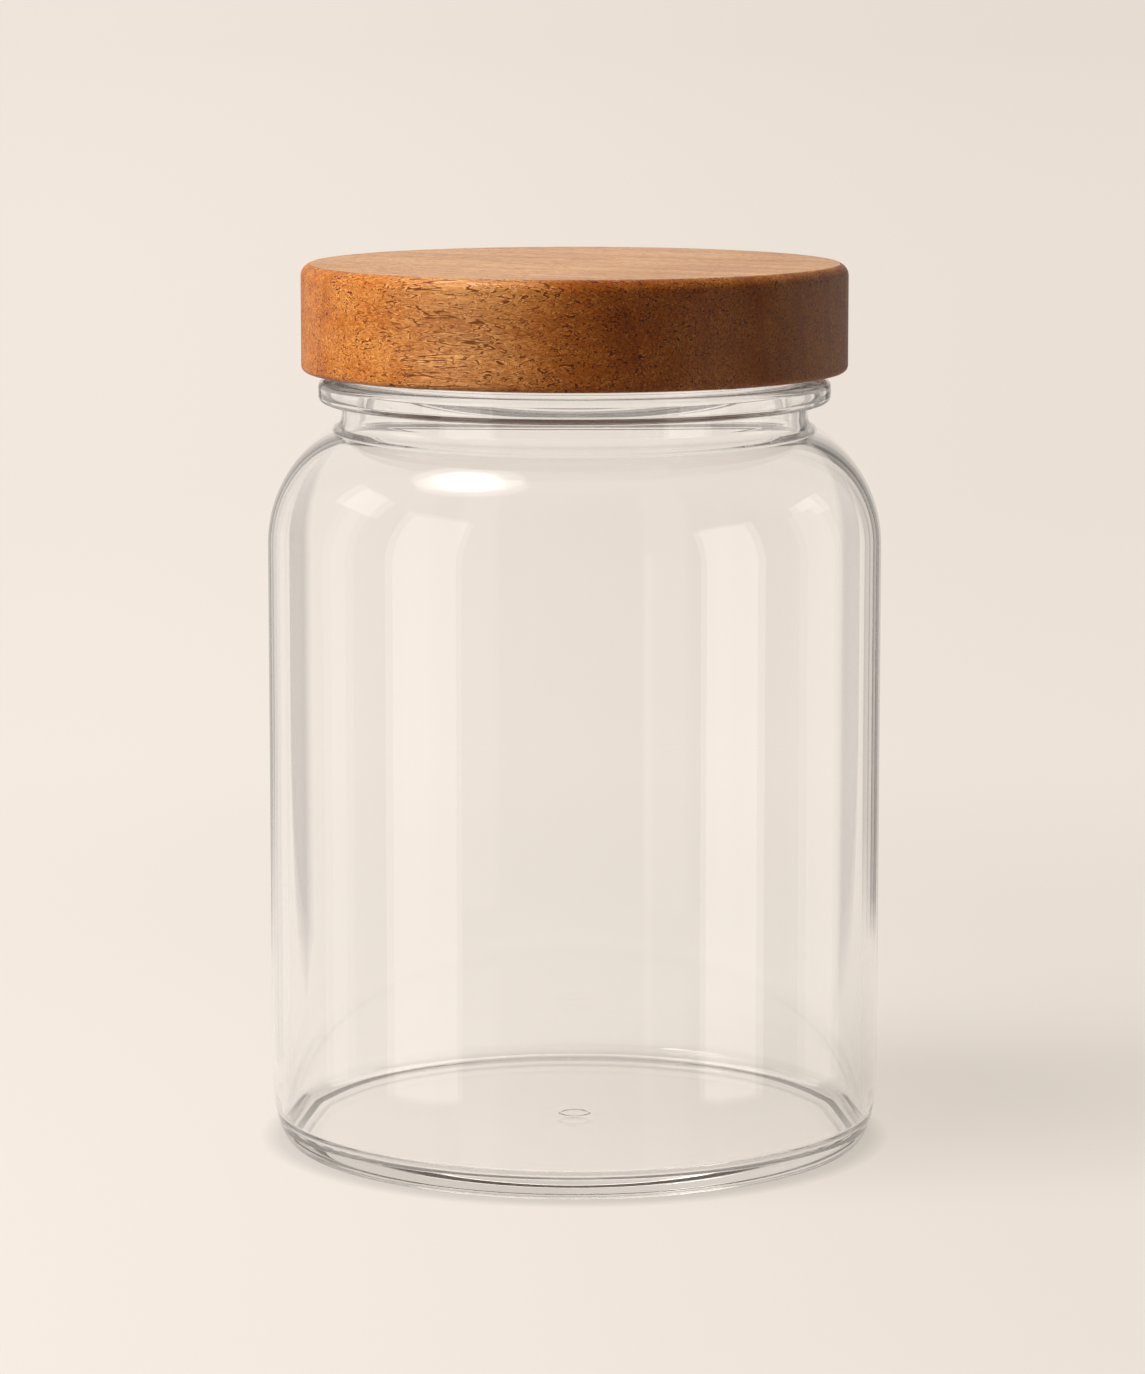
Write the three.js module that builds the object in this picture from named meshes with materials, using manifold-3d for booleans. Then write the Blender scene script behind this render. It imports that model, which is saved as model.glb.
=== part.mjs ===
// Pantry jar: a clear glass vessel with a wooden screw lid.
// Millimetres and degrees, +Z up, origin at the centre of the foot.
import * as THREE from 'three';
import { mergeVertices } from 'three/addons/utils/BufferGeometryUtils.js';
import Module from 'manifold-3d';

const wasm = await Module();
wasm.setup();

// Glass body
const bodyRadius = 60; // outside of the straight wall
const glassWall = 3.2;
const shoulderHeight = 118; // where the straight wall starts to turn in
const shoulderWidth = 14.4; // how far the shoulder draws in, from the wall to the neck
const shoulderTurn = 62.2; // angle that the shoulder arc turns through to reach the neck
const heelWidth = 4.2; // rounded outer corner at the foot, across
const heelHeight = 14; // and up
const footWidth = 4.5; // flat ring that the jar stands on
const pushUp = 0.4; // hollow under the base
const floorThickness = 3.9; // at the floor's edge
const floorRise = 0.3; // how far the floor's middle stands above its edge
const cornerWidth = 5.7; // rounded inside corner between floor and wall, across
const cornerHeight = 2.9; // and up
const markRadius = 3.3; // round mould mark in the middle of the floor
const markHeight = 0.2;
const markSlope = 0.5;

// Neck, bead and rim
const neckFillet = 2; // hollow corner between shoulder and neck
const neckRise = 2.8; // straight neck below the bead
const beadDepth = 4.4;
const beadHeight = 4.5;
const beadRound = 1.4;
const beadRoot = 0.6; // hollow corner where the bead leaves the neck
const finishHeight = 12.6; // bead to rim
const rimRound = 1.3;

// Screw thread, one start, right-handed
const threadPitch = 5;
const threadDepth = 1.6;
const threadCrest = 1; // width of the ridge at its crest
const flankClearance = 0.5; // along the axis, on each side of the ridge
const crestClearance = 0.4; // between a crest and the wall that it faces
const threadFoot = 3.4; // from the bead to the middle of the first turn
const threadLand = 2.7; // from the middle of the last turn to the rim
const threadFade = 45; // angle over which each end of the ridge dies away
const linerLand = 0.2; // from the liner's mouth to its ridge

// Lid
const lidGap = 1.6; // between the bead and the lid's lower edge
const lidWall = 3.74; // wood around the recess
const lidTop = 5.3; // wood above the recess
const topArris = 2.5;
const bottomArris = 1.2;
const recessChamfer = 0.5;
const linerWall = 1.6;
const linerRoof = 1.6;
const linerInset = 0.4; // how far the liner sits up inside the lid's mouth
const linerRound = 0.8;
const gasketThickness = 1.6;
const gasketRound = 0.4;
const gasketLip = 0.4; // how far the gasket reaches inside the glass bore
const bondThickness = 0.4;
const bondMargin = 4; // adhesive is kept this far from the liner's edge
const seatGap = 0.25; // between faces that seat on each other
const fitGap = 0.3; // between round pieces that fit inside each other

const roundSteps = 48; // facets of every round piece
const capSteps = 3; // facets of a shallow cap, from its edge to its middle
const arcSag = 0.05; // how far a facet may cut inside a rounded corner

// Radii from the axis outwards
const neckRadius = bodyRadius - shoulderWidth;
const boreRadius = neckRadius - glassWall;
const beadRadius = neckRadius + beadDepth;
const linerInner = neckRadius + threadDepth + crestClearance;
const linerOuter = linerInner + linerWall;
const recessRadius = linerOuter + fitGap;
const lidRadius = recessRadius + lidWall;

// Heights from the foot upwards
const shoulderRadius = shoulderWidth / (1 - Math.cos(radians(shoulderTurn)));
const shoulderCentre = bodyRadius - shoulderRadius;
const filletCentre = neckRadius + neckFillet;
const filletAngle = degrees(Math.acos((filletCentre - shoulderCentre) / (shoulderRadius + neckFillet)));
const filletHeight = shoulderHeight + (shoulderRadius + neckFillet) * Math.sin(radians(filletAngle));
const beadBottom = filletHeight + neckRise;
const beadTop = beadBottom + beadHeight;
const rimHeight = beadTop + finishHeight;
const lidBottom = beadTop + lidGap;

// Heights inside the lid, from its lower edge upwards
const gasketBottom = rimHeight - lidBottom + seatGap;
const roofBottom = gasketBottom + gasketThickness + seatGap;
const roofTop = roofBottom + linerRoof;
const bondBottom = roofTop + seatGap;
const recessTop = bondBottom + bondThickness + seatGap;
const lidHeight = recessTop + lidTop;

// The two ridges share one helix, half a pitch apart
const threadRoot = threadPitch - threadCrest - 2 * flankClearance;
const glassThreadStart = beadTop + threadFoot;
const threadEnd = rimHeight - threadLand;
const linerThreadStart = lidBottom + linerInset + linerLand + threadRoot / 2;
const linerThreadAngle = 360 * (linerThreadStart - glassThreadStart + threadPitch / 2) / threadPitch;

function radians(angle) {
  return angle * Math.PI / 180;
}

function degrees(angle) {
  return angle * 180 / Math.PI;
}

function point(radius, height) {
  return new THREE.Vector2(radius, height);
}

// Points of an elliptical arc in the profile plane, between two angles
function arc(radius, height, acrossRadius, upRadius, from, to) {
  const curve = new THREE.EllipseCurve(
    radius, height, acrossRadius, upRadius, radians(from), radians(to), to < from,
  );
  const facet = degrees(2 * Math.acos(1 - arcSag / Math.max(acrossRadius, upRadius)));
  return curve.getPoints(Math.ceil(Math.abs(to - from) / facet));
}

function roundArc(radius, height, size, from, to) {
  return arc(radius, height, size, size, from, to);
}

// Points of a shallow cap between two distances from the axis, its edge at the given height
function cap(width, height, rise, from, to) {
  const points = [];
  for (let i = 0; i <= capSteps; i++) {
    const radius = THREE.MathUtils.lerp(from, to, i / capSteps);
    points.push(point(radius, height + rise * (1 - (radius / width) ** 2)));
  }
  return points;
}

// Position-only geometry with shared vertices and no collapsed triangles
function weld(geometry) {
  geometry.deleteAttribute('normal');
  geometry.deleteAttribute('uv');
  const welded = mergeVertices(geometry);
  const corners = welded.index.array;
  const kept = [];
  for (let i = 0; i < corners.length; i += 3) {
    const [a, b, c] = corners.slice(i, i + 3);
    if (a !== b && b !== c && c !== a) kept.push(a, b, c);
  }
  welded.setIndex(kept);
  return welded;
}

// Turns a profile about the Z axis
function turned(profile) {
  const geometry = new THREE.LatheGeometry(profile, roundSteps);
  geometry.rotateX(Math.PI / 2);
  return weld(geometry);
}

// Helical ridge on a round wall, buried in it by half the wall so that the two can be joined
function threadRidge({ wallRadius, wallThickness, outward, start, end, angle }) {
  const side = outward ? 1 : -1;
  const base = wallRadius - side * wallThickness / 2;
  const hidden = wallRadius - side * wallThickness / 4;
  const crest = wallRadius + side * threadDepth;
  const turn = 360 * (end - start) / threadPitch;
  const steps = Math.ceil(turn / (360 / roundSteps));
  const sections = [];
  for (let i = 0; i <= steps; i++) {
    const swept = turn * i / steps;
    const fade = Math.min(1, swept / threadFade, (turn - swept) / threadFade);
    const ridge = THREE.MathUtils.lerp(hidden, crest, THREE.MathUtils.smoothstep(fade, 0, 1));
    const height = start + threadPitch * swept / 360;
    const section = [
      point(base, height - threadRoot / 2),
      point(ridge, height - threadCrest / 2),
      point(ridge, height + threadCrest / 2),
      point(base, height + threadRoot / 2),
    ];
    if (!outward) section.reverse();
    const direction = radians(angle + swept);
    const across = Math.cos(direction);
    const along = Math.sin(direction);
    sections.push(section.map(({ x, y }) => new THREE.Vector3(x * across, x * along, y)));
  }
  const corners = sections[0].length;
  const faces = [];
  for (let i = 0; i < steps; i++) {
    for (let k = 0; k < corners; k++) {
      const next = (k + 1) % corners;
      const near = i * corners;
      const far = near + corners;
      faces.push(near + k, far + k, near + next, near + next, far + k, far + next);
    }
  }
  const last = steps * corners;
  faces.push(0, 1, 2, 0, 2, 3, last, last + 2, last + 1, last, last + 3, last + 2);
  const geometry = new THREE.BufferGeometry().setFromPoints(sections.flat());
  geometry.setIndex(faces);
  return geometry;
}

function solid(geometry) {
  return new wasm.Manifold(new wasm.Mesh({
    numProp: 3,
    vertProperties: Float32Array.from(geometry.attributes.position.array),
    triVerts: Uint32Array.from(geometry.index.array),
  }));
}

function joined(first, second) {
  const { vertProperties, triVerts } = solid(first).add(solid(second)).getMesh();
  const geometry = new THREE.BufferGeometry();
  geometry.setAttribute('position', new THREE.BufferAttribute(vertProperties, 3));
  geometry.setIndex(new THREE.BufferAttribute(triVerts, 1));
  return geometry;
}

function piece(name, geometry, material) {
  geometry.computeVertexNormals();
  const mesh = new THREE.Mesh(geometry, material);
  mesh.name = name;
  return mesh;
}

// Clear moulded glass, walls of one thickness from the heel to the rim
function glassJar() {
  const footRadius = bodyRadius - heelWidth;
  const footInner = footRadius - footWidth;
  const innerRadius = bodyRadius - glassWall;
  const floorRadius = innerRadius - cornerWidth;
  const markTop = floorThickness + floorRise + markHeight;
  const profile = [
    ...cap(footInner, 0, pushUp, 0, footInner),
    ...arc(footRadius, heelHeight, heelWidth, heelHeight, -90, 0),
    ...roundArc(shoulderCentre, shoulderHeight, shoulderRadius, 0, filletAngle),
    ...roundArc(filletCentre, filletHeight, neckFillet, 180 + filletAngle, 180),
    ...roundArc(neckRadius + beadRoot, beadBottom - beadRoot, beadRoot, 180, 90),
    ...roundArc(beadRadius - beadRound, beadBottom + beadRound, beadRound, -90, 0),
    ...roundArc(beadRadius - beadRound, beadTop - beadRound, beadRound, 0, 90),
    ...roundArc(neckRadius + beadRoot, beadTop + beadRoot, beadRoot, -90, -180),
    ...roundArc(neckRadius - rimRound, rimHeight - rimRound, rimRound, 0, 90),
    ...roundArc(boreRadius + rimRound, rimHeight - rimRound, rimRound, 90, 180),
    ...roundArc(filletCentre, filletHeight, neckFillet + glassWall, 180, 180 + filletAngle),
    ...roundArc(shoulderCentre, shoulderHeight, shoulderRadius - glassWall, filletAngle, 0),
    ...arc(floorRadius, floorThickness + cornerHeight, cornerWidth, cornerHeight, 0, -90),
    ...cap(floorRadius, floorThickness, floorRise, floorRadius, markRadius),
    point(markRadius - markSlope, markTop),
    point(0, markTop),
  ];
  const ridge = threadRidge({
    wallRadius: neckRadius,
    wallThickness: glassWall,
    outward: true,
    start: glassThreadStart,
    end: threadEnd,
    angle: 180 / roundSteps,
  });
  const glass = new THREE.MeshStandardMaterial({
    color: 0xe8ecea, roughness: 0.03, metalness: 0, transparent: true, opacity: 0.35,
  });
  return piece('glass_jar', joined(turned(profile), ridge), glass);
}

// Turned hardwood block with a recess for the liner, in the lid's own frame
function woodLid() {
  const profile = [
    point(0, recessTop),
    point(recessRadius, recessTop),
    point(recessRadius, recessChamfer),
    point(recessRadius + recessChamfer, 0),
    ...roundArc(lidRadius - bottomArris, bottomArris, bottomArris, -90, 0),
    ...roundArc(lidRadius - topArris, lidHeight - topArris, topArris, 0, 90),
    point(0, lidHeight),
  ];
  const wood = new THREE.MeshStandardMaterial({ color: 0xa0622f, roughness: 0.5, metalness: 0 });
  return piece('wood_lid', turned(profile), wood);
}

// Moulded plastic cap inside the wood, with the inside thread
function threadedLiner() {
  const profile = [
    point(0, roofBottom),
    point(linerInner, roofBottom),
    point(linerInner, linerInset),
    point(linerOuter, linerInset),
    ...roundArc(linerOuter - linerRound, roofTop - linerRound, linerRound, 0, 90),
    point(0, roofTop),
  ];
  const ridge = threadRidge({
    wallRadius: linerInner,
    wallThickness: linerWall,
    outward: false,
    start: linerThreadStart - lidBottom,
    end: threadEnd - lidBottom,
    angle: linerThreadAngle + 180 / roundSteps,
  });
  const plastic = new THREE.MeshStandardMaterial({ color: 0x784a29, roughness: 0.45, metalness: 0 });
  return piece('threaded_liner', joined(turned(profile), ridge), plastic);
}

// Thin disc of adhesive between the liner's roof and the wood
function bondingDisc() {
  const radius = linerOuter - bondMargin;
  const profile = [
    point(0, bondBottom),
    point(radius, bondBottom),
    point(radius, bondBottom + bondThickness),
    point(0, bondBottom + bondThickness),
  ];
  const adhesive = new THREE.MeshStandardMaterial({ color: 0xd8c9a3, roughness: 0.6, metalness: 0 });
  return piece('bonding_disc', turned(profile), adhesive);
}

// Flat silicone ring over the glass rim
function sealingGasket() {
  const inner = boreRadius - gasketLip;
  const outer = linerInner - fitGap;
  const top = gasketBottom + gasketThickness;
  const profile = [
    ...roundArc(outer - gasketRound, gasketBottom + gasketRound, gasketRound, -90, 0),
    ...roundArc(outer - gasketRound, top - gasketRound, gasketRound, 0, 90),
    ...roundArc(inner + gasketRound, top - gasketRound, gasketRound, 90, 180),
    ...roundArc(inner + gasketRound, gasketBottom + gasketRound, gasketRound, 180, 270),
  ];
  profile.push(profile[0].clone());
  const silicone = new THREE.MeshStandardMaterial({ color: 0xe6e4de, roughness: 0.6, metalness: 0 });
  return piece('sealing_gasket', turned(profile), silicone);
}

const lid = new THREE.Group();
lid.position.z = lidBottom;
lid.add(woodLid(), bondingDisc(), threadedLiner(), sealingGasket());

const jar = new THREE.Group();
jar.name = 'pantry_jar';
jar.add(glassJar(), lid);

export default jar;
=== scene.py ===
# Pantry jar: clear glass with a wooden screw lid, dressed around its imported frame
import math

import bpy
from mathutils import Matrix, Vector


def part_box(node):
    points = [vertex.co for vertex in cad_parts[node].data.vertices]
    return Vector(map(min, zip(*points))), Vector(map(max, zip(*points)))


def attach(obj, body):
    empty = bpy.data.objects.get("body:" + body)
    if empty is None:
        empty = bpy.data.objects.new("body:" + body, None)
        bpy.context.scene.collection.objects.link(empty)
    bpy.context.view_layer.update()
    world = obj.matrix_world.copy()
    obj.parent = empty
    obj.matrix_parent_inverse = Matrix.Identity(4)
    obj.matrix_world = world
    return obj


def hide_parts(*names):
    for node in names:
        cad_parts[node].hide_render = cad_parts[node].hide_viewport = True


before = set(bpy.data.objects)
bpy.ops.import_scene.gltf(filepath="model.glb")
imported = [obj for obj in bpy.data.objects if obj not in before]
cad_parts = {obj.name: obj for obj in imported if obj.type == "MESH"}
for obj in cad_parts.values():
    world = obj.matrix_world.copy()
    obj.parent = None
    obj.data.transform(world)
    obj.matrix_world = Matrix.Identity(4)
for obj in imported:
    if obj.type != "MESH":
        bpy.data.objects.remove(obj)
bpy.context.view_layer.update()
mm = 0.001  # everything below is in metres
hair = 1e-6  # places closer than this count as one
print("frame loaded:", ", ".join(sorted(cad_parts)))


def linear(hexText):
    # sRGB hex to the linear colour that the nodes take
    shares = [int(hexText[i:i + 2], 16) / 255 for i in (1, 3, 5)]
    return [s / 12.92 if s <= 0.04045 else ((s + 0.055) / 1.055) ** 2.4 for s in shares] + [1.0]


def addNode(tree, kind, inputs=None, stops=None, **settings):
    # one node with its settings; an input is a value or the socket that feeds it
    node = tree.nodes.new("ShaderNode" + kind)
    for name, value in settings.items():
        setattr(node, name, value)
    for name, value in (inputs or {}).items():
        if isinstance(value, bpy.types.NodeSocket):
            tree.links.new(value, node.inputs[name])
        else:
            node.inputs[name].default_value = value
    if stops:
        ramp = node.color_ramp
        while len(ramp.elements) < len(stops):
            ramp.elements.new(1.0)
        for element, (place, colour) in zip(ramp.elements, stops):
            element.position = place
            element.color = linear(colour)
    return node


def newMaterial(name):
    material = bpy.data.materials.new(name)
    material.use_nodes = True
    material.node_tree.nodes.clear()
    return material, material.node_tree


def smooth(share):
    share = max(0.0, min(1.0, share))
    return share * share * (3 - 2 * share)


def arc(centre, size, start, end, steps):
    # points of a round or elliptical corner in the profile plane, angles in degrees
    points = []
    for i in range(steps + 1):
        angle = math.radians(start + (end - start) * i / steps)
        points.append((centre[0] + size[0] * math.cos(angle), centre[1] + size[1] * math.sin(angle)))
    return points


def run(start, end, steps):
    # points along a straight stretch, both ends left out
    shares = [i / steps for i in range(1, steps)]
    return [(start[0] + (end[0] - start[0]) * s, start[1] + (end[1] - start[1]) * s) for s in shares]


def cap(width, height, rise, start, end, steps):
    # a shallow cap between two distances from the axis, its edge at the given height
    reaches = [start + (end - start) * i / steps for i in range(steps + 1)]
    return [(r, height + rise * (1 - (r / width) ** 2)) for r in reaches]


def turnedPiece(name, profile, steps, bulge=None, ring=False, crease=None):
    # a profile of (radius, height) turned about Z; bulge adds to the radius at an angle and height;
    # crease keeps edges sharper than that many degrees
    verts = []
    rows = []
    for radius, height in profile:
        if radius < hair:
            rows.append([len(verts)] * steps)
            verts.append((0.0, 0.0, height))
            continue
        rows.append(list(range(len(verts), len(verts) + steps)))
        for k in range(steps):
            angle = 2 * math.pi * k / steps
            reach = radius + (bulge(angle, radius, height) if bulge else 0.0)
            verts.append((reach * math.cos(angle), reach * math.sin(angle), height))
    pairs = list(zip(rows, rows[1:]))
    if ring:
        pairs.append((rows[-1], rows[0]))
    faces = []
    for lower, upper in pairs:
        for k in range(steps):
            n = (k + 1) % steps
            corners = [lower[k], lower[n], upper[n], upper[k]]
            faces.append(list(dict.fromkeys(corners)))
    mesh = bpy.data.meshes.new(name)
    mesh.from_pydata(verts, [], faces)
    mesh.shade_smooth()
    if crease:
        mesh.set_sharp_from_angle(angle=math.radians(crease))
    piece = bpy.data.objects.new(name, mesh)
    bpy.context.collection.objects.link(piece)
    return piece


def threadRidge(angle, height, thread):
    # height of a helical ridge above its wall, with both ends dying away
    across = (height - thread["start"]) / thread["pitch"]
    turned = (angle - thread["angle"]) / (2 * math.pi)
    lap = round(across - turned)
    swept = turned + lap
    total = (thread["end"] - thread["start"]) / thread["pitch"]
    away = abs(across - swept) * thread["pitch"]
    flank = (thread["root"] / 2 - away) / (thread["root"] / 2 - thread["crest"] / 2)
    fade = min(swept, total - swept) / thread["fade"]
    return thread["depth"] * smooth(flank) * smooth(fade)


# Glass jar
glassSizes = {
    "wall": 3.2 * mm,
    "shoulderHeight": 118 * mm,
    "shoulderWidth": 14.4 * mm,
    "shoulderTurn": 62.2,  # degrees
    "heel": (4.2 * mm, 14 * mm),  # across and up
    "footWidth": 4.5 * mm,
    "pushUp": 0.4 * mm,  # hollow under the base
    "floor": 3.9 * mm,
    "floorRise": 0.3 * mm,
    "floorCorner": (5.7 * mm, 2.9 * mm),
    "markRadius": 3.3 * mm,
    "markHeight": 0.09 * mm,
    "markWidth": 1.1 * mm,
    "markDip": 0.7,  # share of its height that the mark falls back inside its rim
    "markSteps": 12,
    "neckFillet": 2 * mm,
    "neckRise": 2.8 * mm,
    "beadDepth": 4.4 * mm,
    "beadHeight": 4.5 * mm,
    "beadRound": 1.4 * mm,
    "beadRoot": 0.6 * mm,
    "rimRound": 1.3 * mm,
    "steps": 192,
}
glassThread = {
    "pitch": 5 * mm,
    "depth": 1.6 * mm,
    "crest": 1 * mm,
    "root": 3 * mm,
    "fade": 45 / 360,  # turns
    "foot": 3.4 * mm,
    "land": 2.7 * mm,
    "angle": math.radians(180 / 48),  # half a facet of the solid, where its ridge starts
}

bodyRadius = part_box("glass_jar")[1].x
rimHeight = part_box("glass_jar")[1].z
neckRadius = bodyRadius - glassSizes["shoulderWidth"]
boreRadius = neckRadius - glassSizes["wall"]
beadRadius = neckRadius + glassSizes["beadDepth"]
shoulderRadius = glassSizes["shoulderWidth"] / (1 - math.cos(math.radians(glassSizes["shoulderTurn"])))
shoulderCentre = (bodyRadius - shoulderRadius, glassSizes["shoulderHeight"])
filletReach = neckRadius + glassSizes["neckFillet"]
shoulderToFillet = shoulderRadius + glassSizes["neckFillet"]
filletAngle = math.degrees(math.acos((filletReach - shoulderCentre[0]) / shoulderToFillet))
filletCentre = (filletReach, shoulderCentre[1] + shoulderToFillet * math.sin(math.radians(filletAngle)))
beadBottom = filletCentre[1] + glassSizes["neckRise"]
beadTop = beadBottom + glassSizes["beadHeight"]
glassThread["start"] = beadTop + glassThread["foot"]
glassThread["end"] = rimHeight - glassThread["land"]


def glassProfile():
    s = glassSizes
    foot = bodyRadius - s["heel"][0]
    footInner = foot - s["footWidth"]
    inner = bodyRadius - s["wall"]
    wall = shoulderRadius - s["wall"]
    fillet = s["neckFillet"]
    thickFillet = fillet + s["wall"]
    bead = s["beadRound"]
    root = s["beadRoot"]
    rim = s["rimRound"]
    corner = s["floorCorner"]
    floorRadius = inner - corner[0]
    floorTop = s["floor"] + s["floorRise"]
    # outside, from the middle of the base up to the rim
    points = cap(footInner, 0, s["pushUp"], 0, footInner, 16)
    points += run((footInner, 0), (foot, 0), 4)
    points += arc((foot, s["heel"][1]), s["heel"], -90, 0, 20)
    points += run((bodyRadius, s["heel"][1]), (bodyRadius, s["shoulderHeight"]), 14)
    points += arc(shoulderCentre, (shoulderRadius, shoulderRadius), 0, filletAngle, 26)
    points += arc(filletCentre, (fillet, fillet), 180 + filletAngle, 180, 9)
    points += arc((neckRadius + root, beadBottom - root), (root, root), 180, 90, 5)
    points += arc((beadRadius - bead, beadBottom + bead), (bead, bead), -90, 0, 9)
    points += arc((beadRadius - bead, beadTop - bead), (bead, bead), 0, 90, 9)
    points += arc((neckRadius + root, beadTop + root), (root, root), -90, -180, 5)
    points += run((neckRadius, beadTop + root), (neckRadius, rimHeight - rim), 52)
    points += arc((neckRadius - rim, rimHeight - rim), (rim, rim), 0, 90, 7)
    # inside, back down to the middle of the floor
    points += arc((boreRadius + rim, rimHeight - rim), (rim, rim), 90, 180, 7)
    points += run((boreRadius, rimHeight - rim), (boreRadius, filletCentre[1]), 10)
    points += arc(filletCentre, (thickFillet, thickFillet), 180, 180 + filletAngle, 10)
    points += arc(shoulderCentre, (wall, wall), filletAngle, 0, 24)
    points += run((inner, s["shoulderHeight"]), (inner, s["floor"] + corner[1]), 14)
    points += arc((floorRadius, s["floor"] + corner[1]), corner, 0, -90, 20)
    points += cap(floorRadius, s["floor"], s["floorRise"], floorRadius, s["markRadius"], 16)[1:-1]
    for i in range(s["markSteps"] + 1):  # round mould mark in the middle of the floor, with a raised rim
        share = i / s["markSteps"]
        rise = s["markHeight"] * (smooth(share * 2) - s["markDip"] * smooth(share * 2 - 1))
        points.append((s["markRadius"] - s["markWidth"] * share, floorTop + rise))
    points.append((0, floorTop + s["markHeight"] * (1 - s["markDip"])))
    return points


def glassBulge(angle, radius, height):
    onFinish = height > beadTop + glassSizes["beadRoot"] and radius > neckRadius - hair
    return threadRidge(angle, height, glassThread) if onFinish else 0.0


glassJar = turnedPiece("glass_jar_blown", glassProfile(), glassSizes["steps"], glassBulge)
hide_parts("glass_jar")
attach(glassJar, "jar")
print("glass jar:", len(glassJar.data.polygons), "faces")

# Wooden lid
lidSizes = {
    "wall": 3.74 * mm,
    "topArris": 2.5 * mm,
    "arrisTurn": 72,  # degrees that the edge rounds over before it meets the flat top
    "bottomArris": 1.2 * mm,
    "recessChamfer": 0.5 * mm,
    "top": 5.3 * mm,
    "crease": 14,  # degrees
    "steps": 192,
}
lidLow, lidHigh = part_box("wood_lid")
lidRadius = lidHigh.x
lidBottom = lidLow.z
lidTop = lidHigh.z
recessRadius = lidRadius - lidSizes["wall"]
recessTop = lidTop - lidSizes["top"]


def lidProfile():
    s = lidSizes
    low = s["bottomArris"]
    high = s["topArris"]
    chamfer = s["recessChamfer"]
    points = [(0, recessTop)]
    points += run((0, recessTop), (recessRadius, recessTop), 6)
    points += arc((recessRadius - chamfer, recessTop - chamfer), (chamfer, chamfer), 90, 0, 4)
    points += run((recessRadius, recessTop - chamfer), (recessRadius, lidBottom + chamfer), 6)
    points += arc((recessRadius + chamfer, lidBottom + chamfer), (chamfer, chamfer), 180, 270, 5)
    points += arc((lidRadius - low, lidBottom + low), (low, low), -90, 0, 8)
    points += run((lidRadius, lidBottom + low), (lidRadius, lidTop - high), 8)
    flat = math.radians(s["arrisTurn"])
    rounded = arc((lidRadius - high, lidTop - high * math.sin(flat)), (high, high), 0, s["arrisTurn"], 12)
    points += rounded
    points += run(rounded[-1], (0, lidTop), 10)
    points.append((0, lidTop))
    return points


woodLid = turnedPiece("wood_lid_turned", lidProfile(), lidSizes["steps"], crease=lidSizes["crease"])
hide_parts("wood_lid")
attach(woodLid, "lid")
print("wooden lid:", len(woodLid.data.polygons), "faces")

# Liner, gasket and adhesive inside the lid
linerSizes = {
    "wall": 1.6 * mm,
    "roof": 1.6 * mm,
    "round": 0.8 * mm,
    "lip": 0.3 * mm,
    "land": 0.2 * mm,
    "steps": 192,
}
linerLow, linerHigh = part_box("threaded_liner")
linerOuter = linerHigh.x
linerInner = linerOuter - linerSizes["wall"]
linerThread = dict(glassThread)
linerThread["start"] = linerLow.z + linerSizes["land"] + glassThread["root"] / 2
halfPitchOff = linerThread["start"] - glassThread["start"] + glassThread["pitch"] / 2
linerThread["angle"] = glassThread["angle"] + 2 * math.pi * halfPitchOff / glassThread["pitch"]


def linerProfile():
    s = linerSizes
    roofTop = linerHigh.z
    roofBottom = roofTop - s["roof"]
    mouth = linerLow.z
    lip = s["lip"]
    points = [(0, roofBottom)]
    points += run((0, roofBottom), (linerInner - lip, roofBottom), 6)
    points += arc((linerInner - lip, roofBottom - lip), (lip, lip), 90, 0, 4)
    points += run((linerInner, roofBottom - lip), (linerInner, mouth + lip), 56)
    points += arc((linerInner + lip, mouth + lip), (lip, lip), 180, 270, 4)
    points += arc((linerOuter - lip, mouth + lip), (lip, lip), -90, 0, 4)
    points += run((linerOuter, mouth + lip), (linerOuter, roofTop - s["round"]), 4)
    points += arc((linerOuter - s["round"], roofTop - s["round"]), (s["round"], s["round"]), 0, 90, 6)
    points += run((linerOuter - s["round"], roofTop), (0, roofTop), 6)
    points.append((0, roofTop))
    return points


def linerBulge(angle, radius, height):
    inside = abs(radius - linerInner) < hair
    return -threadRidge(angle, height, linerThread) if inside else 0.0


liner = turnedPiece("liner_moulded", linerProfile(), linerSizes["steps"], linerBulge)
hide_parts("threaded_liner")
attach(liner, "lid")

gasketSizes = {"round": 0.4 * mm, "lip": 0.4 * mm, "steps": 192}
gasketLow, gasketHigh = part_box("sealing_gasket")


def gasketProfile():
    size = gasketSizes["round"]
    outer = gasketHigh.x - size
    inner = boreRadius - gasketSizes["lip"] + size
    low = gasketLow.z + size
    high = gasketHigh.z - size
    corners = (((outer, low), -90), ((outer, high), 0), ((inner, high), 90), ((inner, low), 180))
    points = []
    for centre, start in corners:
        points += arc(centre, (size, size), start, start + 90, 6)
    return points


gasket = turnedPiece("gasket_moulded", gasketProfile(), gasketSizes["steps"], ring=True)
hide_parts("sealing_gasket")
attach(gasket, "seal")

adhesiveSizes = {"edge": 0.15 * mm, "steps": 160}
adhesiveLow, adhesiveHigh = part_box("bonding_disc")


def adhesiveProfile():
    edge = adhesiveSizes["edge"]
    rim = adhesiveHigh.x - edge
    points = [(0, adhesiveLow.z)]
    points += run((0, adhesiveLow.z), (rim, adhesiveLow.z), 8)
    points += arc((rim, adhesiveLow.z + edge), (edge, edge), -90, 0, 4)
    points += arc((rim, adhesiveHigh.z - edge), (edge, edge), 0, 90, 4)
    points += run((rim, adhesiveHigh.z), (0, adhesiveHigh.z), 8)
    points.append((0, adhesiveHigh.z))
    return points


adhesive = turnedPiece("adhesive_spread", adhesiveProfile(), adhesiveSizes["steps"])
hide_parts("bonding_disc")
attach(adhesive, "lid")
print("liner, gasket and adhesive built")

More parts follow.
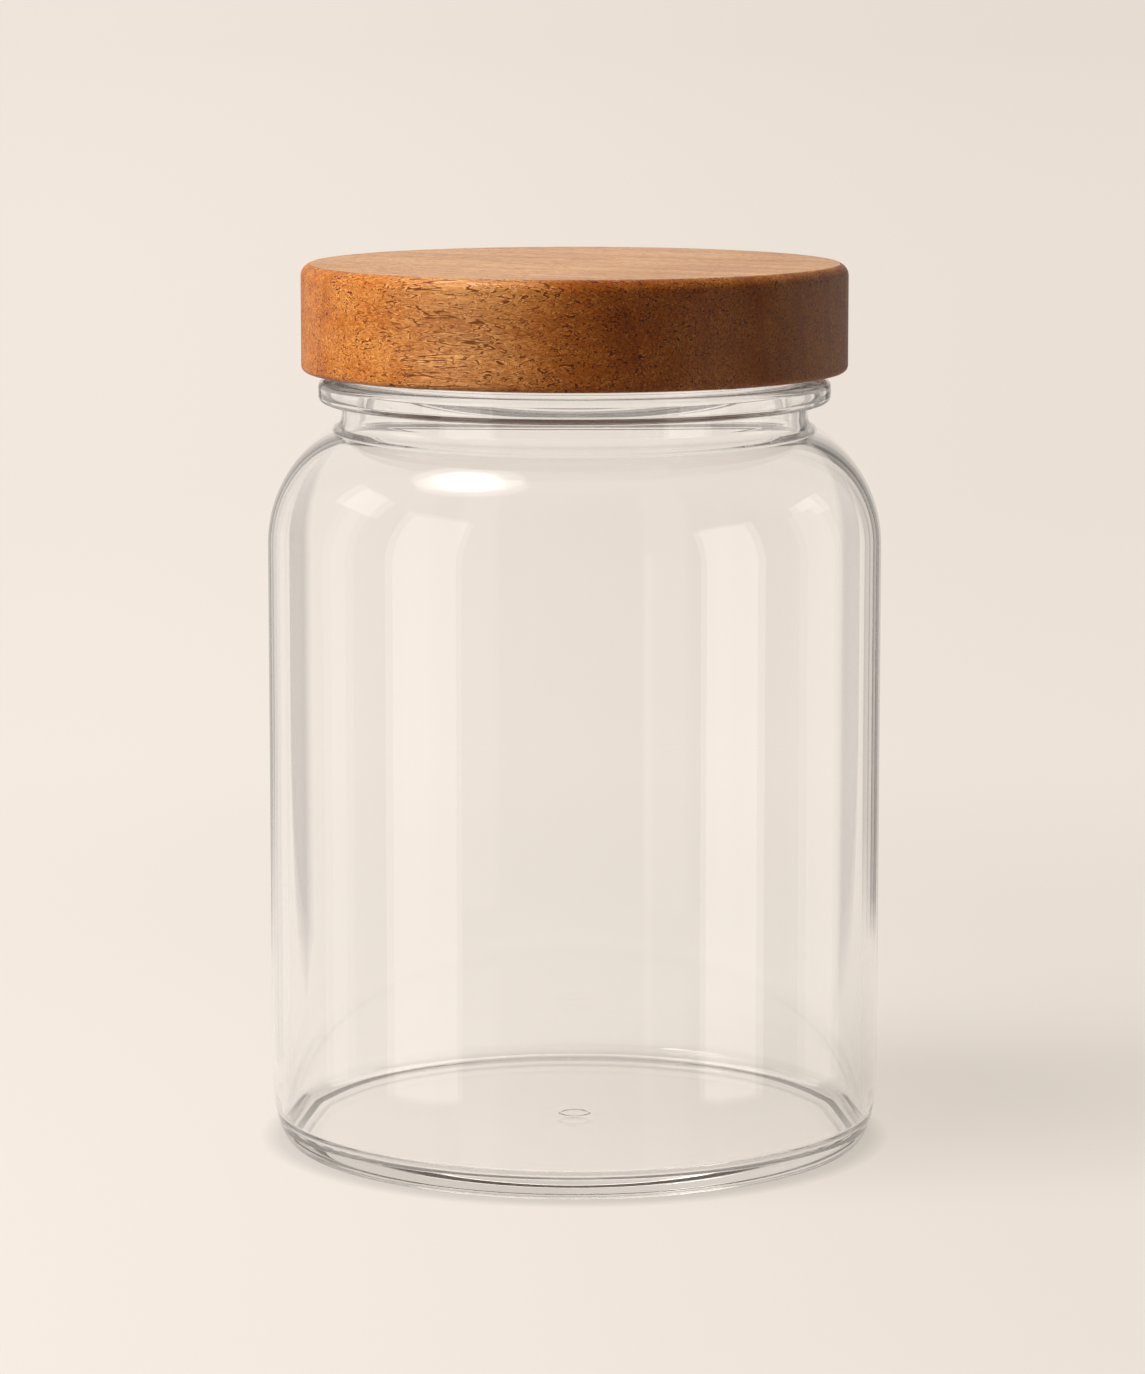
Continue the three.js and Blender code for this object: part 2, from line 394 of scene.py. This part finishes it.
# Soda-lime glass, pressed and fire-polished: clear all through and mirror-smooth,
# so the eye finds it only by its edges and reflections
glassLook = {
    "tint": "#ffffff",
    "ior": 1.5,
    "roughness": 0.0,
    "body": "#7b7f7d",  # what little it swallows is close to grey
    "density": 2.4,  # per metre
    "shadow": "#f9f8f7",  # what one surface lets through to the floor
}


def sodaLimeGlass():
    look = glassLook
    material, tree = newMaterial("soda_lime_glass")
    clear = addNode(tree, "BsdfPrincipled", {
        "Base Color": linear(look["tint"]),
        "Roughness": look["roughness"],
        "IOR": look["ior"],
        "Transmission Weight": 1.0,
    })
    # lamps and bounced light pass through and leave a light shadow
    path = addNode(tree, "LightPath")
    lighting = addNode(tree, "Math", {
        0: path.outputs["Is Shadow Ray"], 1: path.outputs["Is Diffuse Ray"],
    }, operation="MAXIMUM")
    passed = addNode(tree, "BsdfTransparent", {"Color": linear(look["shadow"])})
    mixed = addNode(tree, "MixShader", {0: lighting.outputs[0], 1: clear.outputs[0], 2: passed.outputs[0]})
    depth = addNode(tree, "VolumeAbsorption", {"Color": linear(look["body"]), "Density": look["density"]})
    addNode(tree, "OutputMaterial", {"Surface": mixed.outputs[0], "Volume": depth.outputs[0]})
    return material


# Oiled acacia, turned and sanded: fine wavy vessel lines along the grain, curly squiggles at the end grain,
# and a satin film of oil that brings out the orange. Patterns are in mm, along and across the grain
woodLook = {
    "grainTurn": 27,  # degrees from X, so the long grain faces left of the camera
    "colours": ("#602503", "#ae5c18", "#e59e50"),
    "top": ("#a87140", "#d8ad78", "#f0d2a2"),  # paler colours for the top: painted sheen and light, where the flat top catches the lamp above at a grazing angle
    "tones": (0.2, 0.5, 0.8),  # where the three colours stand
    "topSheenShare": 0.45,
    "topSheenFacing": (0.94, 1.0),  # how far upward a face looks, from the side's colours to the top's painted sheen
    "baseTone": 0.11,
    "figure": (60, 9),
    "figureTone": 0.32,
    "speckle": (1.5, 0.45),  # fibre bundles, drawn coarser than real fibre to show
    "speckleTone": 0.5,
    "vessels": (15, 0.85),
    "vesselTone": 0.8,
    "cover": (22, 6),  # patches with more and fewer vessels
    "coverRange": (0.38, 0.58),
    "coverLeast": 0.3,
    "curls": (2.4, 0.7),
    "curlTone": 0.5,
    "curlShare": 0.8,
    "lineWidth": 0.042,  # share of the noise range that a line takes up
    "lip": (2.6, 0.3),  # width and strength of the pale lip, as shares of the line's
    "wander": (14, 5),
    "wanderDepth": 0.9,  # how far a line strays sideways
    "pith": (0, 160, -145),  # from the jar's foot, so the rings cross the lid upright
    "ringSpacing": 11,
    "ringTones": (0.01, -0.05),
    "lateWood": 0.6,  # share of a ring before it darkens
    "sheenStreak": (3, 24),  # middle and half width of a pale streak along the grain: painted sheen on the lit side
    "sheenStreakTone": 0.03,
    "sheenStreakShare": 0.22,
    "darkStreak": (31, 22),  # the same for a darker streak
    "darkStreakTone": -0.08,
    "roughness": 0.5,
    "gloss": 0.03,
    "film": 0.36,
    "filmRoughness": 0.24,
    "relief": 0.14 * mm,
    "reliefStrength": 0.5,
}


def oiledAcacia():
    look = woodLook
    material, tree = newMaterial("oiled_acacia")
    place = addNode(tree, "TexCoord")
    grain = addNode(tree, "Mapping", {
        "Vector": place.outputs["Object"],
        "Rotation": (0, 0, math.radians(look["grainTurn"])),
        "Scale": (1 / mm, 1 / mm, 1 / mm),
    }).outputs[0]  # millimetres, X along the grain

    def pattern(source, size, **inputs):
        scale = (1 / size[0], 1 / size[1], 1 / size[1])
        where = addNode(tree, "Mapping", {"Vector": source, "Scale": scale})
        return addNode(tree, "TexNoise", {"Vector": where.outputs[0], "Scale": 1.0, **inputs})

    stray = pattern(grain, look["wander"], Detail=1.0).outputs["Color"]
    depth = 2 * look["wanderDepth"]
    wavy = addNode(tree, "VectorMath", {
        0: stray, 1: (0, depth, depth), 2: grain,
    }, operation="MULTIPLY_ADD").outputs[0]
    figure = pattern(grain, look["figure"], Detail=3.0).outputs["Fac"]
    speckle = pattern(wavy, look["speckle"], Detail=2.0, Distortion=0.6).outputs["Fac"]
    cover = pattern(grain, look["cover"], Detail=1.0).outputs["Fac"]
    vesselShare = addNode(tree, "MapRange", {
        "Value": cover, "From Min": look["coverRange"][0], "From Max": look["coverRange"][1],
        "To Min": look["coverLeast"],
    }).outputs[0]
    tone = addNode(tree, "Math", {
        0: figure, 1: look["figureTone"], 2: look["baseTone"],
    }, operation="MULTIPLY_ADD").outputs[0]
    tone = addNode(tree, "Math", {
        0: speckle, 1: look["speckleTone"], 2: tone,
    }, operation="MULTIPLY_ADD").outputs[0]
    # a line runs where its noise passes the middle level, with a pale lip on both sides
    lines = (
        (look["vessels"], look["vesselTone"], vesselShare),
        (look["curls"], look["curlTone"], look["curlShare"]),
    )
    lipWidth, lipTone = look["lip"]
    for size, dark, share in lines:
        noise = pattern(wavy, size, Detail=1.0, Distortion=0.4).outputs["Fac"]
        off = addNode(tree, "Math", {0: noise, 1: 0.5}, operation="SUBTRACT")
        off = addNode(tree, "Math", {0: off.outputs[0]}, operation="ABSOLUTE").outputs[0]
        line = addNode(tree, "MapRange", {
            "Value": off, "From Max": look["lineWidth"], "To Min": -dark, "To Max": 0.0,
        }, interpolation_type="SMOOTHSTEP")
        lip = addNode(tree, "MapRange", {
            "Value": off, "From Max": lipWidth * look["lineWidth"], "To Min": lipTone * dark, "To Max": 0.0,
        }, interpolation_type="SMOOTHSTEP")
        both = addNode(tree, "Math", {0: line.outputs[0], 1: lip.outputs[0]}, operation="ADD")
        tone = addNode(tree, "Math", {
            0: both.outputs[0], 1: share, 2: tone,
        }, operation="MULTIPLY_ADD").outputs[0]
    # growth rings darken to their end, then start again
    across = addNode(tree, "VectorMath", {0: wavy, 1: look["pith"]}, operation="ADD")
    across = addNode(tree, "VectorMath", {0: across.outputs[0], 1: (0, 1, 1)}, operation="MULTIPLY")
    across = addNode(tree, "VectorMath", {0: across.outputs[0]}, operation="LENGTH")
    ring = addNode(tree, "Math", {0: across.outputs["Value"], 1: look["ringSpacing"]}, operation="DIVIDE")
    ring = addNode(tree, "Math", {0: ring.outputs[0]}, operation="FRACT")
    ring = addNode(tree, "MapRange", {
        "Value": ring.outputs[0], "From Min": look["lateWood"],
        "To Min": look["ringTones"][0], "To Max": look["ringTones"][1],
    }, interpolation_type="SMOOTHSTEP").outputs[0]
    tone = addNode(tree, "Math", {0: tone, 1: ring}, operation="ADD").outputs[0]
    # a pale streak across the lid, which is painted sheen on its lit side, and a darker one
    along = addNode(tree, "SeparateXYZ", {0: grain}).outputs["X"]
    streaks = []
    for where, change in ((look["sheenStreak"], look["sheenStreakTone"]), (look["darkStreak"], look["darkStreakTone"])):
        off = addNode(tree, "Math", {0: along, 1: where[0]}, operation="SUBTRACT")
        off = addNode(tree, "Math", {0: off.outputs[0]}, operation="ABSOLUTE")
        streak = addNode(tree, "MapRange", {
            "Value": off.outputs[0], "From Max": where[1], "To Min": 1.0, "To Max": 0.0,
        }, interpolation_type="SMOOTHSTEP").outputs[0]
        tone = addNode(tree, "Math", {0: streak, 1: change, 2: tone}, operation="MULTIPLY_ADD").outputs[0]
        streaks.append(streak)
    side = addNode(tree, "ValToRGB", {"Fac": tone}, stops=list(zip(look["tones"], look["colours"])))
    flat = addNode(tree, "ValToRGB", {"Fac": tone}, stops=list(zip(look["tones"], look["top"])))
    # painted sheen and light: faces that look up take the paler top colours
    facing = addNode(tree, "SeparateXYZ", {0: place.outputs["Normal"]})
    upwardSheen = addNode(tree, "MapRange", {
        "Value": facing.outputs["Z"], "From Min": look["topSheenFacing"][0], "From Max": look["topSheenFacing"][1],
        "To Max": look["topSheenShare"],
    })
    # painted sheen: the pale streak also mixes in the paler top colours
    paleSheen = addNode(tree, "Math", {0: streaks[0], 1: look["sheenStreakShare"]}, operation="MULTIPLY")
    paleSheen = addNode(tree, "Math", {0: paleSheen.outputs[0], 1: upwardSheen.outputs[0]}, operation="MAXIMUM")
    colour = addNode(tree, "Mix", {
        0: paleSheen.outputs[0], 6: side.outputs[0], 7: flat.outputs[0],
    }, data_type="RGBA")
    relief = addNode(tree, "Bump", {
        "Height": tone, "Strength": look["reliefStrength"], "Distance": look["relief"],
    })
    oil = addNode(tree, "BsdfPrincipled", {
        "Base Color": colour.outputs[2],
        "Roughness": look["roughness"],
        "Specular IOR Level": look["gloss"],
        "Coat Weight": look["film"],
        "Coat Roughness": look["filmRoughness"],
        "Normal": relief.outputs[0],
        "Coat Normal": relief.outputs[0],
    })
    addNode(tree, "OutputMaterial", {"Surface": oil.outputs[0]})
    return material


# Polypropylene, injection moulded: brown to go with the wood, with a fine satin skin
linerLook = {
    "colours": ((0.3, "#80552e"), (0.7, "#906540")),
    "cloud": 6 * mm,
    "skin": 0.4 * mm,
    "skinDepth": 0.05 * mm,
    "skinStrength": 0.15,
    "roughness": 0.42,
    "ior": 1.49,
}


def mouldedPolypropylene():
    look = linerLook
    material, tree = newMaterial("moulded_polypropylene")
    place = addNode(tree, "TexCoord").outputs["Object"]
    cloud = addNode(tree, "TexNoise", {"Vector": place, "Scale": 1 / look["cloud"], "Detail": 2.0})
    colour = addNode(tree, "ValToRGB", {"Fac": cloud.outputs["Fac"]}, stops=look["colours"])
    skin = addNode(tree, "TexNoise", {"Vector": place, "Scale": 1 / look["skin"], "Detail": 1.0})
    relief = addNode(tree, "Bump", {
        "Height": skin.outputs["Fac"], "Strength": look["skinStrength"], "Distance": look["skinDepth"],
    })
    plastic = addNode(tree, "BsdfPrincipled", {
        "Base Color": colour.outputs[0],
        "Roughness": look["roughness"],
        "IOR": look["ior"],
        "Normal": relief.outputs[0],
    })
    addNode(tree, "OutputMaterial", {"Surface": plastic.outputs[0]})
    return material


# Silicone rubber, moulded: cloudy white, soft gloss, a little light passes into it
gasketLook = {
    "colours": ((0.3, "#dfddd6"), (0.7, "#ebe9e3")),
    "cloud": 3 * mm,
    "roughness": 0.5,
    "ior": 1.41,
    "depth": (1.5 * mm, 1.4 * mm, 1.3 * mm),  # how far red, green and blue light spread inside
    "depthShare": 0.3,
}


def mouldedSilicone():
    look = gasketLook
    material, tree = newMaterial("moulded_silicone")
    place = addNode(tree, "TexCoord").outputs["Object"]
    cloud = addNode(tree, "TexNoise", {"Vector": place, "Scale": 1 / look["cloud"], "Detail": 3.0})
    colour = addNode(tree, "ValToRGB", {"Fac": cloud.outputs["Fac"]}, stops=look["colours"])
    rubber = addNode(tree, "BsdfPrincipled", {
        "Base Color": colour.outputs[0],
        "Roughness": look["roughness"],
        "IOR": look["ior"],
        "Subsurface Weight": look["depthShare"],
        "Subsurface Radius": look["depth"],
        "Subsurface Scale": 1.0,
    })
    addNode(tree, "OutputMaterial", {"Surface": rubber.outputs[0]})
    return material


# Set adhesive, spread with a comb: straw-coloured film with ridges
adhesiveLook = {
    "colours": ((0.0, "#c9b98d"), (1.0, "#dccfa8")),
    "comb": 2.5 * mm,  # spacing of the ridges
    "ridge": 0.1 * mm,
    "ridgeStrength": 0.3,
    "roughness": 0.5,
}


def setAdhesive():
    look = adhesiveLook
    material, tree = newMaterial("set_adhesive")
    place = addNode(tree, "TexCoord").outputs["Object"]
    comb = addNode(tree, "TexWave", {
        "Vector": place, "Scale": 1 / look["comb"] / (2 * math.pi), "Distortion": 1.5, "Detail": 2.0,
    })
    colour = addNode(tree, "ValToRGB", {"Fac": comb.outputs["Fac"]}, stops=look["colours"])
    relief = addNode(tree, "Bump", {
        "Height": comb.outputs["Fac"], "Strength": look["ridgeStrength"], "Distance": look["ridge"],
    })
    film = addNode(tree, "BsdfPrincipled", {
        "Base Color": colour.outputs[0],
        "Roughness": look["roughness"],
        "Normal": relief.outputs[0],
    })
    addNode(tree, "OutputMaterial", {"Surface": film.outputs[0]})
    return material


for piece, material in (
    (glassJar, sodaLimeGlass()),
    (woodLid, oiledAcacia()),
    (liner, mouldedPolypropylene()),
    (gasket, mouldedSilicone()),
    (adhesive, setAdhesive()),
):
    piece.data.materials.append(material)
print("materials set")

# Camera: a long lens a metre away, looking a little down
cameraSizes = {
    "lens": 135,
    "sensor": 36,
    "place": (-0.41 * mm, -1003 * mm, 235.66 * mm),
    "pitch": 8.293,  # degrees
    "sight": 100,
}
cameraData = bpy.data.cameras.new("camera")
cameraData.lens = cameraSizes["lens"]
cameraData.sensor_width = cameraSizes["sensor"]
cameraData.clip_end = cameraSizes["sight"]
camera = bpy.data.objects.new("camera", cameraData)
camera.location = cameraSizes["place"]
camera.rotation_euler = (math.radians(90 - cameraSizes["pitch"]), 0, 0)
bpy.context.collection.objects.link(camera)
bpy.context.scene.camera = camera

# Floor: a pale round table that runs into an even backdrop
floorLook = {
    "paper": "#f0e7de",
    "left": "#f2e8de",
    "right": "#eae0d5",
    "gradient": 0.11,  # slope sideways at which the backdrop is at its palest and darkest
    "gradientFrom": 1.0,  # distance from which it fans out
    "under": (0.08, 0.25),  # full level under the jar, that of the room from the second distance on
    "glow": 0.72,  # share of its own light close to the jar, which keeps the shadow soft
    "glowReach": (0.18, 0.5),  # distances between which it grows to all
    "nearLevel": 1.035,
    "nearReach": (0.3, 1.2),
    "farLevel": 0.965,
    "farReach": (2.5, 10.0),
    "frontLevel": 0.6,  # how bright the room behind the camera shows in reflections
    "frontRange": (-0.3, 0.6),  # forward part of a direction, from the front's level to full
    "bounce": "#a59c92",  # what it throws back on the object
    "rings": (0.5, 2.0, 60.0),
    "drop": 0.02 * mm,  # keeps it clear of the foot
    "steps": 64,
    "paintedContactShadow": (  # painted contact shadow round the foot, by distance
        (0.05, "#000000"),
        (0.0545, "#858585"),
        (0.058, "#858585"),
        (0.0615, "#000000"),
    ),
}


def seenRays(tree):
    # 1 for rays that look at something, 0 for rays that light it
    path = addNode(tree, "LightPath")
    seen = addNode(tree, "Math", {
        0: path.outputs["Is Camera Ray"], 1: path.outputs["Is Glossy Ray"],
    }, operation="ADD")
    seen = addNode(tree, "Math", {
        0: seen.outputs[0], 1: path.outputs["Is Transmission Ray"],
    }, operation="ADD", use_clamp=True)
    return seen.outputs[0], path.outputs["Is Camera Ray"]


def roomLevel(tree, direction, cameraRay):
    # the room is darker towards the front, which shows only in reflections
    look = floorLook
    axes = addNode(tree, "SeparateXYZ", {0: direction})
    back = addNode(tree, "MapRange", {
        "Value": axes.outputs["Y"], "From Min": look["frontRange"][0], "From Max": look["frontRange"][1],
        "To Min": look["frontLevel"], "To Max": 1.0,
    })
    return addNode(tree, "Math", {0: back.outputs[0], 1: cameraRay}, operation="MAXIMUM").outputs[0]


def backdropColour(tree, axes, start):
    # painted light: paler on the left, where the low lamp stands; fans out with the distance, so that floor
    # and room meet without a line
    look = floorLook
    depth = addNode(tree, "Math", {0: axes.outputs["Y"]}, operation="ABSOLUTE")
    depth = addNode(tree, "Math", {0: depth.outputs[0], 1: start}, operation="ADD")
    slant = addNode(tree, "Math", {0: axes.outputs["X"], 1: depth.outputs[0]}, operation="DIVIDE")
    side = addNode(tree, "MapRange", {
        "Value": slant.outputs[0], "From Min": -look["gradient"], "From Max": look["gradient"],
    }, interpolation_type="SMOOTHSTEP")
    return addNode(tree, "Mix", {
        0: side.outputs[0], 6: linear(look["left"]), 7: linear(look["right"]),
    }, data_type="RGBA").outputs[2]


def floorMaterial():
    look = floorLook
    material, tree = newMaterial("cream_paper")
    place = addNode(tree, "TexCoord").outputs["Object"]
    axes = addNode(tree, "SeparateXYZ", {0: place})
    reach = addNode(tree, "VectorMath", {0: place}, operation="LENGTH").outputs["Value"]
    outward = addNode(tree, "VectorMath", {0: place}, operation="NORMALIZE")
    far = addNode(tree, "MapRange", {
        "Value": reach, "From Min": look["glowReach"][0], "From Max": look["glowReach"][1],
        "To Min": look["glow"],
    }, interpolation_type="SMOOTHSTEP")
    backdrop = backdropColour(tree, axes, look["gradientFrom"])
    seen, cameraRay = seenRays(tree)
    glow = addNode(tree, "Math", {0: far.outputs[0], 1: seen}, operation="MULTIPLY")
    colour = addNode(tree, "Mix", {
        0: seen, 6: linear(look["bounce"]), 7: linear(look["paper"]),
    }, data_type="RGBA")
    paper = addNode(tree, "BsdfDiffuse", {"Color": colour.outputs[2]})
    level = roomLevel(tree, outward.outputs[0], cameraRay)
    close = addNode(tree, "MapRange", {
        "Value": reach, "From Min": look["under"][0], "From Max": look["under"][1],
        "To Min": 1.0, "To Max": 0.0,
    })
    level = addNode(tree, "Math", {0: level, 1: close.outputs[0]}, operation="MAXIMUM").outputs[0]
    # painted light: the paper's own light is a little brighter near the jar and dims far away
    for distances, start, end in (
        (look["farReach"], 1.0, look["farLevel"]),
        (look["nearReach"], look["nearLevel"], 1.0),
    ):
        change = addNode(tree, "MapRange", {
            "Value": reach, "From Min": distances[0], "From Max": distances[1],
            "To Min": start, "To Max": end,
        })
        level = addNode(tree, "Math", {0: level, 1: change.outputs[0]}, operation="MULTIPLY").outputs[0]
    light = addNode(tree, "Emission", {"Color": backdrop, "Strength": level})
    mixed = addNode(tree, "MixShader", {0: glow.outputs[0], 1: paper.outputs[0], 2: light.outputs[0]})
    # painted contact shadow: the paper is darkened in a ring round the foot
    paintedContactShadow = addNode(tree, "ValToRGB", {"Fac": reach}, stops=look["paintedContactShadow"])
    paintedContactShadow = addNode(tree, "Math", {0: paintedContactShadow.outputs[0], 1: seen}, operation="MULTIPLY")
    unlit = addNode(tree, "Emission", {"Strength": 0.0})
    mixed = addNode(tree, "MixShader", {0: paintedContactShadow.outputs[0], 1: mixed.outputs[0], 2: unlit.outputs[0]})
    addNode(tree, "OutputMaterial", {"Surface": mixed.outputs[0]})
    return material


floorProfile = [(0, 0)] + [(radius, 0) for radius in floorLook["rings"]]
floor = turnedPiece("floor", floorProfile, floorLook["steps"])
floor.data.flip_normals()
floor.location.z = -floorLook["drop"]
floor.data.materials.append(floorMaterial())
print("camera and floor set")

# Light: a broad soft box above, a low one at the left, and weak fill
worldLook = {
    "fill": "#ffffff",
    "fillStrength": 0.05,
    "gradientFrom": 0.001,  # keeps the sideways slope finite
}
world = bpy.data.worlds.new("studio")
world.use_nodes = True
bpy.context.scene.world = world


def setWorld():
    look = worldLook
    tree = world.node_tree
    tree.nodes.clear()
    seen, cameraRay = seenRays(tree)
    fill = addNode(tree, "Background", {"Color": linear(look["fill"]), "Strength": look["fillStrength"]})
    direction = addNode(tree, "TexCoord").outputs["Generated"]
    level = roomLevel(tree, direction, cameraRay)
    level = addNode(tree, "Math", {0: level, 1: floorLook["farLevel"]}, operation="MULTIPLY").outputs[0]
    axes = addNode(tree, "SeparateXYZ", {0: direction})
    colour = backdropColour(tree, axes, look["gradientFrom"])
    backdrop = addNode(tree, "Background", {"Color": colour, "Strength": level})
    mixed = addNode(tree, "MixShader", {0: seen, 1: fill.outputs[0], 2: backdrop.outputs[0]})
    addNode(tree, "OutputWorld", {"Surface": mixed.outputs[0]})


setWorld()
aim = Vector((0, 0, 130 * mm))


def onSphere(azimuth, elevation, distance):
    # azimuth 0 is towards the camera, positive to the right
    a = math.radians(azimuth)
    e = math.radians(elevation)
    return Vector((math.sin(a) * math.cos(e), -math.cos(a) * math.cos(e), math.sin(e))) * distance


lamps = {  # from: azimuth, elevation and distance
    "overhead_box": {"from": (-62, 60, 1.3), "size": (0.6, 0.8), "power": 15},
    "left_box": {"from": (-78, 18, 1.6), "size": (0.7, 0.8), "power": 22},
}
for name, look in lamps.items():
    data = bpy.data.lights.new(name, "AREA")
    data.shape = "RECTANGLE"
    data.size = look["size"][0]
    data.size_y = look["size"][1]
    data.energy = look["power"]
    lamp = bpy.data.objects.new(name, data)
    lamp.location = aim + onSphere(*look["from"])
    lamp.rotation_euler = (aim - lamp.location).to_track_quat("-Z", "Y").to_euler()
    lamp.visible_glossy = False
    lamp.visible_transmission = False
    bpy.context.collection.objects.link(lamp)

# Cards that light nothing and show only in the glass and the oiled wood
cardLook = {
    "colour": "#fff6ec",
    "wallFaces": 2,  # faces of one wall of the jar
}
bands = {  # reflected windows: where each shows on the wall, in degrees round from the camera
    "left_window": {"shows": (-37, -22), "heights": (0, 0.184), "level": 1.7},
    "left_side": {"shows": (-53.5, -47), "heights": (0, 0.173), "level": 1.1},
    "left_patch": {"shows": (-57, -45), "heights": (0.163, 0.195), "level": 1.7},
    "left_back": {"shows": (-80, -75.5), "heights": (0, 0.153), "level": 0.8},
    "middle": {"shows": (13, 14.6), "heights": (0, 0.14), "level": 0.8},
    "right_window": {"shows": (24.7, 37.3), "heights": (0, 0.167), "level": 1.85},
    "right_side": {"shows": (48, 59), "heights": (0, 0.16), "level": 1.1},
    "right_patch": {"shows": (51, 60), "heights": (0.15, 0.17), "level": 1.6},
}
bandSizes = {
    "reach": 0.075,  # distance from the wall
    "fade": 0.002,  # height over which the foot dies away
    "behind": 0.28,  # share of the light that shows again in the far wall and the floor of the jar
}
flags = {  # boards behind the jar, which give its wall and neck their dark lines: ends in plan, levels there
    "left_flag": {
        "ends": ((-0.2037, 0.4), (-0.0756, 0.112)), "heights": (0, 0.5), "levels": (0.1, 0.5),
        "fade": 0.02, "soft": 0.08, "through": True,
    },
    "right_flag": {
        "ends": ((0.0756, 0.112), (0.2037, 0.4)), "heights": (0, 0.5), "levels": (0.55, 0.25),
        "fade": 0.02, "soft": 0.08, "through": True,
    },
    "right_line": {
        "ends": ((0.119, 0.1855), (0.142, 0.1735)), "heights": (0, 0.5), "levels": (0.14, 0.14),
        "fade": 0.012, "soft": 0.0, "through": False,
    },
    "right_board": {
        "ends": ((0.1554, 0.166), (0.1753, 0.1447)), "heights": (0, 0.5), "levels": (0.55, 0.55),
        "fade": 0.03, "soft": 0.0, "through": False,
    },
    "back_box": {  # a bright one, high up
        "ends": ((-0.6, 1.2), (0.6, 1.2)), "heights": (0.75, 1.3), "levels": (3.0, 3.0),
        "fade": 0.03, "soft": 0.0, "through": True,
    },
}
oval = {  # the highlight on the shoulder
    "from": (-78, 62, 1.3),
    "along": (0.195, 0.203),  # what shows as half the width, in the card's own plane
    "across": (0.16, -0.097),  # what shows as half the height
    "rings": (  # share of the size, level
        (0.5, 40),
        (0.62, 12),
        (0.85, 4.3),
        (1.05, 2.9),
        (1.3, 2.3),
        (1.5, 1.4),
    ),
    "steps": 48,
}


def cardMaterial(name, through, behind):
    # a board that may be seen through the glass has one side; any other card shows only to rays that were
    # mirrored on the way, with the share behind of its light to those that crossed a whole wall before
    material, tree = newMaterial(name)
    level = addNode(tree, "Attribute", attribute_name="level").outputs["Fac"]
    cover = addNode(tree, "Attribute", attribute_name="cover").outputs["Fac"]
    if through:
        back = addNode(tree, "NewGeometry").outputs["Backfacing"]
        limits = [addNode(tree, "Math", {0: 1.0, 1: back}, operation="SUBTRACT")]
    else:
        path = addNode(tree, "LightPath")
        mirrored = addNode(tree, "Math", {0: path.outputs["Glossy Depth"], 1: 1.0}, operation="MINIMUM")
        crossed = addNode(tree, "MapRange", {
            "Value": path.outputs["Transmission Depth"],
            "From Min": cardLook["wallFaces"], "From Max": cardLook["wallFaces"] + 1,
            "To Min": 1.0, "To Max": behind,
        })
        limits = [mirrored, crossed]
    for limit in limits:
        cover = addNode(tree, "Math", {0: cover, 1: limit.outputs[0]}, operation="MULTIPLY").outputs[0]
    light = addNode(tree, "Emission", {"Color": linear(cardLook["colour"]), "Strength": level})
    clear = addNode(tree, "BsdfTransparent")
    mixed = addNode(tree, "MixShader", {0: cover, 1: clear.outputs[0], 2: light.outputs[0]})
    addNode(tree, "OutputMaterial", {"Surface": mixed.outputs[0]})
    return material


def addCard(name, verts, faces, levels, covers, through=False, behind=1.0):
    mesh = bpy.data.meshes.new(name)
    mesh.from_pydata(verts, [], faces)
    for kind, values in (("level", levels), ("cover", covers)):
        mesh.attributes.new(kind, "FLOAT", "POINT").data.foreach_set("value", values)
    card = bpy.data.objects.new(name, mesh)
    card.data.materials.append(cardMaterial(name, through, behind))
    card.visible_camera = False
    card.visible_diffuse = False
    card.visible_shadow = False
    bpy.context.collection.objects.link(card)


def standingCard(name, ends, heights, levels, fade, soft=0.0, through=False, behind=0.0):
    # fade is the height over which the foot dies away, and soft the share of the width over which
    # each end does, half of it beyond the end
    start = Vector(ends[0])
    end = Vector(ends[1])
    columns = [(0.0, 1.0), (1.0, 1.0)]  # place along the width, cover
    if soft:
        columns = [(-soft / 2, 0.0), (soft / 2, 1.0), (1 - soft / 2, 1.0), (1 + soft / 2, 0.0)]
    rows = [(heights[0], 0.0), (heights[0] + fade, 1.0), (heights[1], 1.0)]  # height, cover
    wide = len(columns)
    verts = []
    cardLevels = []
    covers = []
    for height, rowCover in rows:
        for place, cover in columns:
            verts.append((*start.lerp(end, place), height))
            cardLevels.append(levels[0] + (levels[1] - levels[0]) * min(max(place, 0), 1))
            covers.append(rowCover * cover)
    faces = []
    for first in range(0, len(verts) - wide, wide):
        faces += [(k, k + 1, k + 1 + wide, k + wide) for k in range(first, first + wide - 1)]
    addCard(name, verts, faces, cardLevels, covers, through, behind)


for name, look in bands.items():
    ends = []
    for angle in look["shows"]:
        start = onSphere(angle, 0, bodyRadius)
        ends.append((start + onSphere(2 * angle, 0, bandSizes["reach"]))[:2])
    levels = (look["level"], look["level"])
    standingCard(name, ends, look["heights"], levels, bandSizes["fade"], behind=bandSizes["behind"])
for name, look in flags.items():
    standingCard(name, **look)


def ovalCard():
    # rings of an ellipse that faces the lid, the last one clear
    centre = aim + onSphere(*oval["from"])
    turn = (aim - centre).to_track_quat("-Z", "Y")
    along = turn @ Vector((*oval["along"], 0))
    across = turn @ Vector((*oval["across"], 0))
    steps = oval["steps"]
    verts = [centre]
    levels = [oval["rings"][0][1]]
    faces = [(0, 1 + k, 1 + (k + 1) % steps) for k in range(steps)]
    for share, level in oval["rings"]:
        base = len(verts)
        for k in range(steps):
            around = 2 * math.pi * k / steps
            verts.append(centre + (along * math.cos(around) + across * math.sin(around)) * share)
            if base > 1:
                n = (k + 1) % steps
                faces.append((base - steps + k, base + k, base + n, base - steps + n))
        levels += [level] * steps
    covers = [1.0] * (len(verts) - steps) + [0.0] * steps
    addCard("oval_box", verts, faces, levels, covers)


ovalCard()

bounces = 80  # the thick base and the bead turn light round many times
scene = bpy.context.scene
scene.view_settings.view_transform = "Standard"
scene.cycles.max_bounces = bounces
scene.cycles.glossy_bounces = bounces
scene.cycles.transmission_bounces = bounces
print("lights set")
